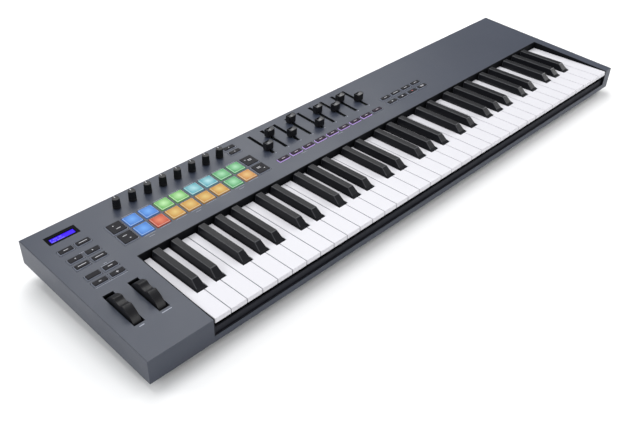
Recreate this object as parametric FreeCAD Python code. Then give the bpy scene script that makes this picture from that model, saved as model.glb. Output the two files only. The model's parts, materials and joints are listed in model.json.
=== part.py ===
"""A 61-key synthesizer keyboard with pads, knobs, faders and two wheels, in millimetres.

The case is a flat slab that leans up towards the back on a wedge-shaped base. The keys stay level in an
opening in the slab. Everything on the slab is drawn in the panel frame: X to the right, Y up the slope from
the front top edge, Z out of the panel. to_world() then leans it and lifts it onto the base.
The world frame has its origin on the table under the middle of the case, X to the right, Z up.
"""

import FreeCAD, Part
import math
import os

Vector = FreeCAD.Vector
ORIGIN = Vector(0, 0, 0)
ALONG_X = Vector(1, 0, 0)

# Case, in the panel frame
CASE_W = 952.0
CASE_D = 261.0
CASE_H = 35.0
WALL = 2.5
TILT = 3.8
FRONT_Z = 45.0
LEFT_BLOCK_W = 88.0
RIGHT_CHEEK_W = 16.0
WELL_BACK = 143.4
LIP_TOP = -26.0
FIT_GAP = 0.2

# Keyboard, level in the world frame
OCTAVES = 5
WHITE_KEYS = 36
WHITE_PITCH = 23.45
KEY_GAP = 1.0
KEY_SET_BACK = 0.6
KEY_DROP = 0.4
WHITE_TOP_LENGTH = 140.2
WHITE_LIP_H = 6.8
WHITE_LIP_D = 9.0
KEY_SKIRT = 18.0
KEY_WALL = 1.8
KEY_TOP_T = 2.5
BLACK_FRONT = 49.6
BLACK_BACK = 138.0
BLACK_W = 14.0
BLACK_TOP_W = 9.6
BLACK_H = 10.2
BLACK_SLOPE = 12.3
BLACK_FLARE_H, BLACK_FLARE_W, BLACK_FLARE_D = 2.0, 1.1, 3.2
BLACK_CLEARANCE = 1.0
TAIL_DROP = 8.0
TAIL_BAR_H = 6.0
TAIL_SIDE_ROOM = 4.5
BLACK_TAIL_INSET = 1.0
PIVOT_BACK = 212.0
PIVOT_Z = 30.0
PIVOT_R = 2.0
PIVOT_BLOCK_FRONT = 6.0
PIVOT_BLOCK_BACK = 10.0
PIVOT_BLOCK_BELOW = 5.0
RUNNING_GAP = 0.08
# Black keys: the white key boundary each one straddles, and how far it sits off that boundary
BLACK_KEYS = {
    "c_sharp": (1, -2.0),
    "d_sharp": (2, 2.0),
    "f_sharp": (4, -3.4),
    "g_sharp": (5, 0.0),
    "a_sharp": (6, 3.4),
}
WHITE_NAMES = ("c", "d", "e", "f", "g", "a", "b")

# Controls, in the panel frame. The left block's controls share one centre line.
BLOCK_X = -432.4
DISPLAY_Y = 235.9
DISPLAY_W, DISPLAY_L = 42.2, 17.2
DISPLAY_GAP = 0.3
WINDOW_BOTTOM, WINDOW_TOP = -1.7, -0.3
MODULE_W, MODULE_L, MODULE_BOTTOM, MODULE_TOP = 39.0, 14.0, -6.5, -2.0
WHEEL_PITCH = 33.2
WHEEL_Y = 81.6
WHEEL_SLOT_W, WHEEL_SLOT_L = 14.1, 61.8
WHEEL_R = 30.4
WHEEL_T = 11.5
WHEEL_DEPTH = 17.2
WHEEL_HALF_ANGLE = 100.0
WHEEL_HUB_R = 9.0
WHEEL_AXLE_R = 3.0
WHEEL_STUB = 4.0
BRACKET_REACH, BRACKET_T, BRACKET_BOTTOM = 34.5, 2.0, -27.0
BRACKET_SIDE_GAP = 1.2
NOTCH_R = 11.0
NOTCH_DEPTH = 4.6
MENU_PITCH = 23.15
MENU_ROWS = (207.4, 186.5, 172.0, 149.2, 134.6)
GRID_X = -352.6
GRID_PITCH = 24.0
GRID_COLUMNS = 8
PAD_ROWS = (202.9, 178.9)
PAD_SIZE = 20.2
KNOB_Y = 237.0
KNOB_R_BASE, KNOB_R_TOP = 5.4, 4.9
KNOB_H = 15.1
KNOB_LIFT = 0.8
KNOB_SHAFT_R = 3.0
KNOB_SHAFT_BOTTOM = -6.0
KNOB_HOLE_R = 3.6
POINTER_W, POINTER_L, POINTER_DEPTH, POINTER_RIM = 0.9, 3.6, 0.4, 0.1
KNOB_PAGE_ROWS = (245.8, 232.8)
FADER_X = -121.0
FADER_PITCH = 24.4
FADER_TRAVEL = 45.0
FADER_MIDDLE = 222.2
FADER_PLACES = (206.6, 230.9, 209.7, 237.8, 202.0, 230.4, 216.9, 230.4, 213.9)
FADER_SLOT_W, FADER_SLOT_L = 4.4, 54.4
FADER_CAP_W, FADER_CAP_L, FADER_CAP_H = 13.8, 9.0, 13.5
FADER_LIFT = 1.2
FADER_SCOOP = 3.4
FADER_CORNER = 1.8
LEVER_W, LEVER_L, LEVER_BOTTOM = 1.2, 4.6, -9.0
FADER_BUTTON_Y = 174.8
TRANSPORT_X = 111.1
TRANSPORT_ROWS = (189.9, 175.5)
TRANSPORT_COLUMNS = 4
WIDE_BUTTON = (18.2, 6.6)
MENU_BUTTON = (18.2, 7.4)
SQUARE_BUTTON = (19.5, 19.2)
CAP_HEIGHT = 1.7
CAP_TAPER = 0.3
SKIRT_HEIGHT = 0.6
SKIRT_BEVEL = 0.4
SKIRT_MARGIN = 0.7
HOLE_GAP = 0.5
MAT_TOP = -2.8
MAT_T = 1.2
MAT_MARGIN = 1.2
PRESS_TRAVEL = 1.0

# Liner of the key opening
LINER_T = 1.2
LINER_TOP, LINER_BOTTOM, LINER_BACK_BOTTOM = -0.15, -30.0, -15.5

# Boards, all parallel to the panel, and the base under the slab
BOARD_TOP = -11.5
BOARD_T = 1.6
FADER_POT_W, FADER_POT_L, FADER_POT_TOP = 8.0, 60.0, -4.6
KNOB_POT_W, KNOB_POT_TOP = 11.0, -5.4
PAD_SHEET_BOTTOM, PAD_SHEET_TOP = -6.4, -5.2
MAIN_BOARD_LEFT, MAIN_BOARD_RIGHT, MAIN_BOARD_FRONT = -440.0, -240.0, 228.5
MAIN_BOARD_TOP = -28.4
BASE_INSET_X = 16.0
BASE_FRONT, BASE_BACK = 18.0, 252.0
BASE_FLOOR_Z = 4.0
BASE_RISE = 1.5
FOOT_R = 9.0
FOOT_INSET_X, FOOT_INSET_Y = 26.0, 20.0
CHASSIS_Z = 9.0
CHASSIS_T = 2.0
CHASSIS_FRONT, CHASSIS_BACK = 24.0, 226.0
CHASSIS_MARGIN = 3.0
CHASSIS_BACK_TOP = 22.0
POST_W, POST_L, POST_ABOVE = 3.0, 12.0, 4.5
RIB_W = 3.0
ROD_GAP = 0.05
SCREW_GAP = 0.1
SLIP_FRONT, SLIP_T, SLIP_TOP = 5.4, 2.0, 27.6
SLIP_SHELF_Z = 14.2
GUIDE_TOP = 30.5
WHITE_GUIDE_BACK, BLACK_GUIDE_BACK = 30.5, 56.0
WHITE_GUIDE, BLACK_GUIDE = (4.0, 8.0), (3.0, 5.0)
SPRING_BACK, SPRING_TOP, SPRING_T, SPRING_W = 172.0, 29.0, 0.5, 4.0
CONTACT_Z = 18.0
CONTACT_FRONT, CONTACT_BACK = 66.0, 128.0
CONTACT_MARGIN = 5.0
STRIP_MIDDLE, STRIP_L, STRIP_T = 96.0, 16.0, 0.5
DOME_W, DOME_L, DOME_H = 6.0, 10.0, 1.2
SCREW_R = 1.5
SCREW_HEAD_R = 2.9
SCREW_SINK = 1.4
SCREW_COLUMNS = (-370.0, -185.0, 0.0, 185.0, 370.0)
SCREW_BACKS = (40.0, 150.0)

# Sockets in the back wall: centre X and centre height in the panel frame
USB_X, USB_Z = -330.0, -22.8
USB_W, USB_H, USB_DEPTH = 8.6, 8.0, 11.0
USB_TONGUE_W, USB_TONGUE_H = 5.6, 3.2
MIDI_X, MIDI_Z = -366.0, -18.6
MIDI_R, MIDI_INSERT_R, MIDI_DEPTH = 7.4, 6.0, 7.5
MIDI_PIN_CIRCLE, MIDI_PIN_R = 3.8, 0.75
JACK_X, JACK_Z = -402.0, -21.4
JACK_R = 3.25
JACK_LENGTH = 26.0
JACK_HOLE_R = 5.0
LOCK_LEFT, LOCK_RIGHT = -272.0, -264.8
LOCK_BOTTOM, LOCK_TOP = -24.0, -20.6
SOCKET_GAP = 0.1

LEAN = math.radians(TILT)
FRONT_Y = -(CASE_D * math.cos(LEAN) + CASE_H * math.sin(LEAN)) / 2
WELL_LEFT = -CASE_W / 2 + LEFT_BLOCK_W
WELL_RIGHT = CASE_W / 2 - RIGHT_CHEEK_W
KEYS_LEFT = (WELL_LEFT + WELL_RIGHT - WHITE_KEYS * WHITE_PITCH) / 2
KEY_Z = FRONT_Z - KEY_DROP
KEY_FRONT = FRONT_Y + KEY_SET_BACK
PIVOT_Y = FRONT_Y + PIVOT_BACK
OCTAVE_W = len(WHITE_NAMES) * WHITE_PITCH


def box(x0, x1, y0, y1, z0, z1):
    return Part.makeBox(x1 - x0, y1 - y0, z1 - z0, Vector(x0, y0, z0))


def centred_box(x, y, width, length, z0, z1):
    return box(x - width / 2, x + width / 2, y - length / 2, y + length / 2, z0, z1)


def cylinder(x, y, z0, z1, radius):
    return Part.makeCylinder(radius, z1 - z0, Vector(x, y, z0))


def cylinder_x(x0, x1, y, z, radius):
    return Part.makeCylinder(radius, x1 - x0, Vector(x0, y, z), ALONG_X)


def cylinder_y(x, y0, y1, z, radius):
    return Part.makeCylinder(radius, y1 - y0, Vector(x, y0, z), Vector(0, 1, 0))


def plate(points, z0, z1):
    """A flat piece with the given outline in X and Y, from height z0 to z1."""
    corners = [Vector(x, y, z0) for x, y in points]
    outline = Part.makePolygon(corners + corners[:1])
    return Part.Face(outline).extrude(Vector(0, 0, z1 - z0))


def side_profile(points, x0, x1):
    """A piece with the given outline in Y and Z, from x0 to x1."""
    corners = [Vector(x0, y, z) for y, z in points]
    outline = Part.makePolygon(corners + corners[:1])
    return Part.Face(outline).extrude(Vector(x1 - x0, 0, 0))


def frustum(low, z0, high, z1):
    """A block whose rectangle (x0, x1, y0, y1) changes from low at z0 to high at z1."""

    def corners(rectangle, z):
        x0, x1, y0, y1 = rectangle
        return [Vector(x0, y0, z), Vector(x1, y0, z), Vector(x1, y1, z), Vector(x0, y1, z)]

    bottom, top = corners(low, z0), corners(high, z1)
    rings = [bottom, top]
    for i in range(4):
        k = (i + 1) % 4
        rings.append([bottom[i], bottom[k], top[k], top[i]])
    faces = [Part.Face(Part.makePolygon(ring + ring[:1])) for ring in rings]
    solid = Part.Solid(Part.Shell(faces))
    if solid.Volume < 0:
        solid.reverse()
    return solid


def rectangle(x, y, width, length, grow=0.0):
    return (x - width / 2 - grow, x + width / 2 + grow, y - length / 2 - grow, y + length / 2 + grow)


def join(shapes):
    first, rest = shapes[0], shapes[1:]
    return first.fuse(rest).removeSplitter() if rest else first


def to_world(shape):
    """Takes a piece from the panel frame to its place on the leaning case."""
    placed = shape.copy()
    placed.rotate(ORIGIN, ALONG_X, TILT)
    placed.translate(Vector(0, FRONT_Y, FRONT_Z))
    return placed


def slab_bottom_z(back):
    """World height of the slab's underside at a distance back from the front edge."""
    return FRONT_Z - CASE_H / math.cos(LEAN) + back * math.tan(LEAN)


def export(name, shapes):
    shapes = shapes if isinstance(shapes, list) else [shapes]
    solids = [solid for shape in shapes for solid in shape.Solids]
    for solid in solids:
        if not solid.isValid() or solid.Volume <= 0:
            raise ValueError(name + " has a bad solid")
    Part.makeCompound(solids).exportStep("parts/" + name + ".step")
    print(name, len(solids), "solids", round(sum(s.Volume for s in solids) / 1000.0, 1), "cm3")


# Keys


def key_x(octave, step):
    return KEYS_LEFT + octave * OCTAVE_W + step * WHITE_PITCH


def black_x(octave, name):
    boundary, shift = BLACK_KEYS[name]
    return key_x(octave, boundary) + shift


def black_at(boundary):
    """The name of the black key on a white key boundary of the octave, or None."""
    for name, (place, _) in BLACK_KEYS.items():
        if place == boundary:
            return name
    return None


def white_sides(octave, step, top_key):
    """X of a white key's front sides, its sides beside the black keys, and its sides at the tail."""
    half = BLACK_W / 2 + BLACK_CLEARANCE
    left, right = key_x(octave, step) + KEY_GAP / 2, key_x(octave, step + 1) - KEY_GAP / 2
    before, after = black_at(step), None if top_key else black_at(step + 1)
    neck_left = black_x(octave, before) + half if before else left
    neck_right = black_x(octave, after) - half if after else right
    tail_left = neck_left if before else left + TAIL_SIDE_ROOM - KEY_GAP / 2
    tail_right = neck_right if after else right - TAIL_SIDE_ROOM + KEY_GAP / 2
    return (left, right), (neck_left, neck_right), (tail_left, tail_right)


def white_outline(sides, neck, inset):
    left, right = sides[0] + inset, sides[1] - inset
    neck_left, neck_right = neck[0] + inset, neck[1] - inset
    front, back = KEY_FRONT + inset, KEY_FRONT + WHITE_TOP_LENGTH - inset
    shoulder = FRONT_Y + BLACK_FRONT - BLACK_CLEARANCE - inset
    points = [(left, front), (right, front)]
    if neck_right < right:
        points += [(right, shoulder), (neck_right, shoulder)]
    points += [(neck_right, back), (neck_left, back)]
    if neck_left > left:
        points += [(neck_left, shoulder), (left, shoulder)]
    return points


def key_tail(x0, x1, front):
    """The bar behind a key's visible part, with the bored block that turns on the pivot rod."""
    top = KEY_Z - TAIL_DROP
    bar = box(x0, x1, front, PIVOT_Y, top - TAIL_BAR_H, top)
    block_front, block_back = PIVOT_Y - PIVOT_BLOCK_FRONT, PIVOT_Y + PIVOT_BLOCK_BACK
    block = box(x0, x1, block_front, block_back, PIVOT_Z - PIVOT_BLOCK_BELOW, top)
    bore = cylinder_x(x0 - 1, x1 + 1, PIVOT_Y, PIVOT_Z, PIVOT_R + RUNNING_GAP)
    return join([bar, block]).cut(bore)


def white_key(octave, step, top_key=False):
    sides, neck, tail = white_sides(octave, step, top_key)
    bottom = KEY_Z - KEY_SKIRT
    body = plate(white_outline(sides, neck, 0.0), bottom, KEY_Z)
    body = body.cut(plate(white_outline(sides, neck, KEY_WALL), bottom - 1, KEY_Z - KEY_TOP_T))
    lip_back, lip_bottom = KEY_FRONT + WHITE_LIP_D, KEY_Z - WHITE_LIP_H
    body = body.cut(box(sides[0] - 1, sides[1] + 1, KEY_FRONT - 1, lip_back, bottom - 1, lip_bottom))
    tail_front = KEY_FRONT + WHITE_TOP_LENGTH - KEY_WALL
    return join([body, key_tail(tail[0], tail[1], tail_front)])


def black_key(octave, name):
    x = black_x(octave, name)
    front, back = FRONT_Y + BLACK_FRONT, FRONT_Y + BLACK_BACK
    bottom = KEY_Z - KEY_SKIRT
    half, top_half, middle_half = BLACK_W / 2, BLACK_TOP_W / 2, BLACK_W / 2 - BLACK_FLARE_W
    stem = box(x - half, x + half, front, back, bottom, KEY_Z)
    low = (x - half, x + half, front, back)
    middle = (x - middle_half, x + middle_half, front + BLACK_FLARE_D, back)
    high = (x - top_half, x + top_half, front + BLACK_SLOPE, back)
    foot = frustum(low, KEY_Z, middle, KEY_Z + BLACK_FLARE_H)
    crown = frustum(middle, KEY_Z + BLACK_FLARE_H, high, KEY_Z + BLACK_H)
    inner = half - KEY_WALL
    hollow = box(x - inner, x + inner, front + KEY_WALL, back - KEY_WALL, bottom - 1, KEY_Z)
    body = join([stem, foot, crown]).cut(hollow)
    tail_half = half - BLACK_TAIL_INSET
    return join([body, key_tail(x - tail_half, x + tail_half, back - KEY_WALL)])


def make_keys():
    for step, name in enumerate(WHITE_NAMES):
        export("white_keys_" + name, [white_key(octave, step) for octave in range(OCTAVES)])
    export("white_key_top_c", white_key(OCTAVES, 0, top_key=True))
    for name in BLACK_KEYS:
        export("black_keys_" + name, [black_key(octave, name) for octave in range(OCTAVES)])


# Controls


def wheel_places():
    return {"pitch_wheel": BLOCK_X - WHEEL_PITCH / 2, "mod_wheel": BLOCK_X + WHEEL_PITCH / 2}


def knob_places():
    return [GRID_X + GRID_PITCH * i for i in range(GRID_COLUMNS)]


def fader_places():
    return [(FADER_X + FADER_PITCH * i, y) for i, y in enumerate(FADER_PLACES)]


def button_groups():
    """Each button mat's name with its list of caps: x, y, width, length."""
    left, right = GRID_X - GRID_PITCH, GRID_X + GRID_PITCH * GRID_COLUMNS
    columns = (BLOCK_X - MENU_PITCH / 2, BLOCK_X + MENU_PITCH / 2)
    transport = [TRANSPORT_X + GRID_PITCH * i for i in range(TRANSPORT_COLUMNS)]
    return {
        "menu_buttons": [(x, y, *MENU_BUTTON) for y in MENU_ROWS for x in columns],
        "pad_bank_buttons": [(left, y, *SQUARE_BUTTON) for y in PAD_ROWS],
        "scene_buttons": [(right, y, *SQUARE_BUTTON) for y in PAD_ROWS],
        "knob_page_buttons": [(right, y, *WIDE_BUTTON) for y in KNOB_PAGE_ROWS],
        "fader_buttons": [(x, FADER_BUTTON_Y, *WIDE_BUTTON) for x, _ in fader_places()],
        "transport_buttons": [(x, y, *WIDE_BUTTON) for y in TRANSPORT_ROWS for x in transport],
    }


def pad_caps():
    size = PAD_SIZE - 2 * SKIRT_MARGIN
    return [(x, y, size, size) for y in PAD_ROWS for x in knob_places()]


def button_mat(caps):
    """A rubber mat under the panel, with a light-coloured skirt and a raised cap for each button."""
    rim = MAT_MARGIN + SKIRT_MARGIN
    x0 = min(x - w / 2 for x, _, w, _ in caps) - rim
    x1 = max(x + w / 2 for x, _, w, _ in caps) + rim
    y0 = min(y - l / 2 for _, y, _, l in caps) - rim
    y1 = max(y + l / 2 for _, y, _, l in caps) + rim
    shapes = [box(x0, x1, y0, y1, MAT_TOP - MAT_T, MAT_TOP)]
    shoulder = SKIRT_HEIGHT - SKIRT_BEVEL
    for x, y, w, l in caps:
        skirt = rectangle(x, y, w, l, SKIRT_MARGIN)
        skirt_top = rectangle(x, y, w, l, SKIRT_MARGIN - CAP_TAPER)
        cap, cap_top = rectangle(x, y, w, l), rectangle(x, y, w, l, -CAP_TAPER)
        shapes.append(centred_box(x, y, w + 2 * SKIRT_MARGIN, l + 2 * SKIRT_MARGIN, MAT_TOP, shoulder))
        shapes.append(frustum(skirt, shoulder, skirt_top, SKIRT_HEIGHT))
        shapes.append(frustum(cap, SKIRT_HEIGHT, cap_top, CAP_HEIGHT))
    return join(shapes)


def wheel(x):
    """A part wheel with a finger notch and stub axles."""
    half, axle_z = WHEEL_T / 2, -WHEEL_DEPTH
    disc = cylinder_x(x - half, x + half, WHEEL_Y, axle_z, WHEEL_R)
    reach = WHEEL_R + 1
    side_z = axle_z - reach * math.tan(math.radians(WHEEL_HALF_ANGLE - 90.0))
    below = [(WHEEL_Y, axle_z), (WHEEL_Y + reach, side_z), (WHEEL_Y + reach, axle_z - reach)]
    below += [(WHEEL_Y - reach, axle_z - reach), (WHEEL_Y - reach, side_z)]
    disc = disc.cut(side_profile(below, x - half - 1, x + half + 1))
    hub = cylinder_x(x - half, x + half, WHEEL_Y, axle_z, WHEEL_HUB_R)
    axle_half = half + WHEEL_STUB
    axle = cylinder_x(x - axle_half, x + axle_half, WHEEL_Y, axle_z, WHEEL_AXLE_R)
    notch_z = WHEEL_R - WHEEL_DEPTH - NOTCH_DEPTH + NOTCH_R
    notch = cylinder_x(x - half - 1, x + half + 1, WHEEL_Y, notch_z, NOTCH_R)
    return join([disc, hub, axle]).cut(notch)


def knob(x):
    """A tapered knob on a round shaft, with a pointer groove at the back of its top."""
    body = Part.makeCone(KNOB_R_BASE, KNOB_R_TOP, KNOB_H - KNOB_LIFT, Vector(x, KNOB_Y, KNOB_LIFT))
    shaft = cylinder(x, KNOB_Y, KNOB_SHAFT_BOTTOM, KNOB_LIFT, KNOB_SHAFT_R)
    pointer_y = KNOB_Y + KNOB_R_TOP - POINTER_L / 2 - POINTER_RIM
    pointer = centred_box(x, pointer_y, POINTER_W, POINTER_L, KNOB_H - POINTER_DEPTH, KNOB_H + 1)
    return join([body, shaft]).cut(pointer)


def fader(x, y):
    """A saddle-topped cap on the flat lever of its slide potentiometer."""
    cap = centred_box(x, y, FADER_CAP_W, FADER_CAP_L, FADER_LIFT, FADER_CAP_H)
    upright = [edge for edge in cap.Edges if abs(edge.tangentAt(edge.FirstParameter).z) > 0.9]
    cap = cap.makeFillet(FADER_CORNER, upright)
    scoop_r = ((FADER_CAP_W / 2) ** 2 + FADER_SCOOP**2) / (2 * FADER_SCOOP)
    scoop_z = FADER_CAP_H - FADER_SCOOP + scoop_r
    groove = cylinder_y(x, y - FADER_CAP_L, y + FADER_CAP_L, scoop_z, scoop_r)
    lever = centred_box(x, y, LEVER_W, LEVER_L, LEVER_BOTTOM, FADER_LIFT)
    return join([cap.cut(groove), lever])


def make_controls():
    for name, x in wheel_places().items():
        export(name, to_world(wheel(x)))
    for i, x in enumerate(knob_places(), 1):
        export("knob_%d" % i, to_world(knob(x)))
    for i, (x, y) in enumerate(fader_places(), 1):
        export("fader_%d" % i, to_world(fader(x, y)))
    export("pads", to_world(button_mat(pad_caps())))
    for name, caps in button_groups().items():
        export(name, to_world(button_mat(caps)))


# Case


def panel_openings():
    """Everything that is cut through the top of the case."""
    low, high = -WALL - 1, 1
    cuts = [centred_box(BLOCK_X, DISPLAY_Y, DISPLAY_W, DISPLAY_L, low, high)]
    for x in wheel_places().values():
        cuts.append(centred_box(x, WHEEL_Y, WHEEL_SLOT_W, WHEEL_SLOT_L, low, high))
    cuts += [cylinder(x, KNOB_Y, low, high, KNOB_HOLE_R) for x in knob_places()]
    for x, _ in fader_places():
        cuts.append(centred_box(x, FADER_MIDDLE, FADER_SLOT_W, FADER_SLOT_L, low, high))
    rim = 2 * (SKIRT_MARGIN + HOLE_GAP)
    for caps in [pad_caps(), *button_groups().values()]:
        cuts += [centred_box(x, y, w + rim, l + rim, low, high) for x, y, w, l in caps]
    return cuts


def socket_openings():
    back, front = CASE_D + 1, CASE_D - WALL - 1
    usb_half_w, usb_half_h = USB_W / 2 + SOCKET_GAP, USB_H / 2 + SOCKET_GAP
    usb = box(USB_X - usb_half_w, USB_X + usb_half_w, front, back, USB_Z - usb_half_h, USB_Z + usb_half_h)
    midi = cylinder_y(MIDI_X, front, back, MIDI_Z, MIDI_R + 2 * SOCKET_GAP)
    jack = cylinder_y(JACK_X, front, back, JACK_Z, JACK_HOLE_R)
    lock = box(LOCK_LEFT, LOCK_RIGHT, front, back, LOCK_BOTTOM, LOCK_TOP)
    return [usb, midi, jack, lock]


def top_case():
    shell = box(-CASE_W / 2, CASE_W / 2, 0, CASE_D, -CASE_H, 0)
    hollow = box(-CASE_W / 2 + WALL, CASE_W / 2 - WALL, WALL, CASE_D - WALL, -CASE_H - 1, -WALL)
    well = box(WELL_LEFT, WELL_RIGHT, -1, WELL_BACK, LIP_TOP, 1)
    return shell.cut([hollow, well] + panel_openings() + socket_openings())


def well_liner():
    """The black frame round the keys: two side walls, a back wall, and the slip below the keys' fronts."""
    gap, set_back = 0.1, 0.3
    left, right = WELL_LEFT + gap, WELL_RIGHT - gap
    back = WELL_BACK - gap
    front, behind_lip = set_back, WALL + set_back
    above_lip = LIP_TOP + FIT_GAP
    walls = [box(left, right, back - LINER_T, back, LINER_BACK_BOTTOM, LINER_TOP)]
    for x0 in (left, right - LINER_T):
        walls.append(box(x0, x0 + LINER_T, behind_lip, back, LINER_BOTTOM, LINER_TOP))
        walls.append(box(x0, x0 + LINER_T, front, behind_lip + 1, above_lip, LINER_TOP))
    slip, shelf_top = FRONT_Y + SLIP_FRONT, SLIP_SHELF_Z + CHASSIS_T
    shelf_back = FRONT_Y + CHASSIS_FRONT + CHASSIS_T
    slip_wall = box(left, right, slip, slip + SLIP_T, SLIP_SHELF_Z, SLIP_TOP)
    shelf = box(left, right, slip, shelf_back, SLIP_SHELF_Z, shelf_top)
    return join([to_world(wall) for wall in walls] + [slip_wall, shelf])


def base_walls(inset):
    """The wedge under the slab, in the world frame, shrunk by inset on every side but the top."""
    front, back = BASE_FRONT + inset, BASE_BACK - inset
    floor = BASE_FLOOR_Z + inset
    points = [
        (FRONT_Y + front, floor),
        (FRONT_Y + back, floor),
        (FRONT_Y + back, slab_bottom_z(back) + BASE_RISE),
        (FRONT_Y + front, slab_bottom_z(front) + BASE_RISE),
    ]
    half = CASE_W / 2 - BASE_INSET_X - inset
    return side_profile(points, -half, half)


def screw_places():
    """X and distance back of the screws that hold the base to the key chassis."""
    return [(x, back) for back in SCREW_BACKS for x in SCREW_COLUMNS]


def bottom_case():
    rim = WALL + FIT_GAP
    half = CASE_W / 2 - rim
    flange = to_world(box(-half, half, rim, CASE_D - rim, -CASE_H, -CASE_H + WALL))
    wedge = base_walls(0.0)
    inner = base_walls(WALL)
    through = inner.copy()
    through.translate(Vector(0, 0, 2 * BASE_RISE))
    case = join([flange, wedge]).cut([inner, through])
    holes = []
    for x, back in screw_places():
        y = FRONT_Y + back
        holes.append(cylinder(x, y, BASE_FLOOR_Z - 1, BASE_FLOOR_Z + SCREW_SINK, SCREW_HEAD_R + 2 * FIT_GAP))
        holes.append(cylinder(x, y, BASE_FLOOR_Z - 1, BASE_FLOOR_Z + WALL + 1, SCREW_R + FIT_GAP))
    return case.cut(holes)


def make_case():
    export("top_case", to_world(top_case()))
    export("key_well_liner", well_liner())
    export("bottom_case", bottom_case())
    half = CASE_W / 2 - BASE_INSET_X - FOOT_INSET_X
    feet = []
    for back in (BASE_FRONT + FOOT_INSET_Y, BASE_BACK - FOOT_INSET_Y):
        feet += [cylinder(x, FRONT_Y + back, 0, BASE_FLOOR_Z, FOOT_R) for x in (-half, 0.0, half)]
    export("rubber_feet", feet)
    screws = []
    for x, back in screw_places():
        y = FRONT_Y + back
        head = cylinder(x, y, BASE_FLOOR_Z + 0.1, BASE_FLOOR_Z + SCREW_SINK, SCREW_HEAD_R)
        shank = cylinder(x, y, BASE_FLOOR_Z + 1.0, CHASSIS_Z + CHASSIS_T, SCREW_R)
        screws.append(join([head, shank]))
    export("case_screws", screws)


# Key action


def post_places():
    """X of the posts that carry the pivot rod: at each E-F and B-C boundary and at both ends."""
    places = [key_x(octave, step) for octave in range(OCTAVES) for step in (3, len(WHITE_NAMES))]
    ends = CHASSIS_MARGIN + POST_W / 2
    return places + [WELL_LEFT + ends, WELL_RIGHT - ends]


def key_chassis():
    """The black frame of the key action: base plate, board ribs, guide posts and pivot posts."""
    left, right = WELL_LEFT + CHASSIS_MARGIN, WELL_RIGHT - CHASSIS_MARGIN
    top = CHASSIS_Z + CHASSIS_T
    front, back = FRONT_Y + CHASSIS_FRONT, FRONT_Y + CHASSIS_BACK
    shapes = [box(left, right, front, back, CHASSIS_Z, top)]
    shapes.append(box(left, right, front, front + CHASSIS_T, CHASSIS_Z, SLIP_SHELF_Z))
    shapes.append(box(left, right, back - CHASSIS_T, back, CHASSIS_Z, CHASSIS_BACK_TOP))
    for i in range(WHITE_KEYS):
        x = KEYS_LEFT + (i + 0.5) * WHITE_PITCH
        shapes.append(centred_box(x, FRONT_Y + WHITE_GUIDE_BACK, *WHITE_GUIDE, CHASSIS_Z, GUIDE_TOP))
    for octave in range(OCTAVES):
        for name in BLACK_KEYS:
            x = black_x(octave, name)
            shapes.append(centred_box(x, FRONT_Y + BLACK_GUIDE_BACK, *BLACK_GUIDE, CHASSIS_Z, GUIDE_TOP))
    for rib in (CONTACT_FRONT + RIB_W, CONTACT_BACK - RIB_W):
        y = FRONT_Y + rib
        shapes.append(box(left, right, y - RIB_W / 2, y + RIB_W / 2, CHASSIS_Z, CONTACT_Z))
    for x in post_places():
        shapes.append(centred_box(x, PIVOT_Y, POST_W, POST_L, CHASSIS_Z, PIVOT_Z + POST_ABOVE))
    frame = join(shapes)
    cuts = [cylinder_x(left - 1, right + 1, PIVOT_Y, PIVOT_Z, PIVOT_R + ROD_GAP)]
    for x, place in screw_places():
        cuts.append(cylinder(x, FRONT_Y + place, CHASSIS_Z - 1, top + 1, SCREW_R + SCREW_GAP))
    return frame.cut(cuts)


def return_spring(x):
    """A bent steel leaf that stands on the chassis and pushes a key's tail up, just ahead of the pivot."""
    foot, floor = FRONT_Y + SPRING_BACK, CHASSIS_Z + CHASSIS_T
    knee, bend, tip = foot + 10.0, foot + 20.0, foot + 25.0
    turn, low_tip = 0.4, SPRING_TOP - SPRING_T
    over = [(foot, floor + SPRING_T), (knee, floor + SPRING_T), (bend, SPRING_TOP), (tip, SPRING_TOP)]
    under = [(tip, low_tip), (bend + turn, low_tip), (knee + turn, floor), (foot, floor)]
    return side_profile(over + under, x - SPRING_W / 2, x + SPRING_W / 2)


def key_centres():
    whites = []
    for octave in range(OCTAVES):
        for step in range(len(WHITE_NAMES)):
            _, _, tail = white_sides(octave, step, False)
            whites.append((tail[0] + tail[1]) / 2)
    _, _, tail = white_sides(OCTAVES, 0, True)
    whites.append((tail[0] + tail[1]) / 2)
    blacks = [black_x(octave, name) for octave in range(OCTAVES) for name in BLACK_KEYS]
    return whites + blacks


def make_key_action():
    left, right = WELL_LEFT + CONTACT_MARGIN, WELL_RIGHT - CONTACT_MARGIN
    export("key_chassis", key_chassis())
    export("pivot_rod", cylinder_x(left, right, PIVOT_Y, PIVOT_Z, PIVOT_R))
    export("key_return_springs", [return_spring(x) for x in key_centres()])
    front, back, board_top = FRONT_Y + CONTACT_FRONT, FRONT_Y + CONTACT_BACK, CONTACT_Z + BOARD_T
    export("key_contact_board", box(left, right, front, back, CONTACT_Z, board_top))
    middle, length = FRONT_Y + STRIP_MIDDLE, right - left - 2 * RIB_W
    strip = centred_box((left + right) / 2, middle, length, STRIP_L, board_top, board_top + STRIP_T)
    domes = [centred_box(x, middle, DOME_W, DOME_L, board_top, board_top + DOME_H) for x in key_centres()]
    export("key_contact_rubbers", join([strip] + domes))


# Boards and sockets


def control_board():
    """The board under all the panel's controls: it steps forward under the menu buttons."""
    left, step, right, split = -464.0, -400.0, 202.0, -150.0
    front, step_front, back_left, back_right = 125.0, 163.0, 246.0, 255.5
    points = [(left, front), (step, front), (step, step_front), (right, step_front)]
    points += [(right, back_right), (split, back_right), (split, back_left), (left, back_left)]
    return plate(points, BOARD_TOP - BOARD_T, BOARD_TOP)


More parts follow.
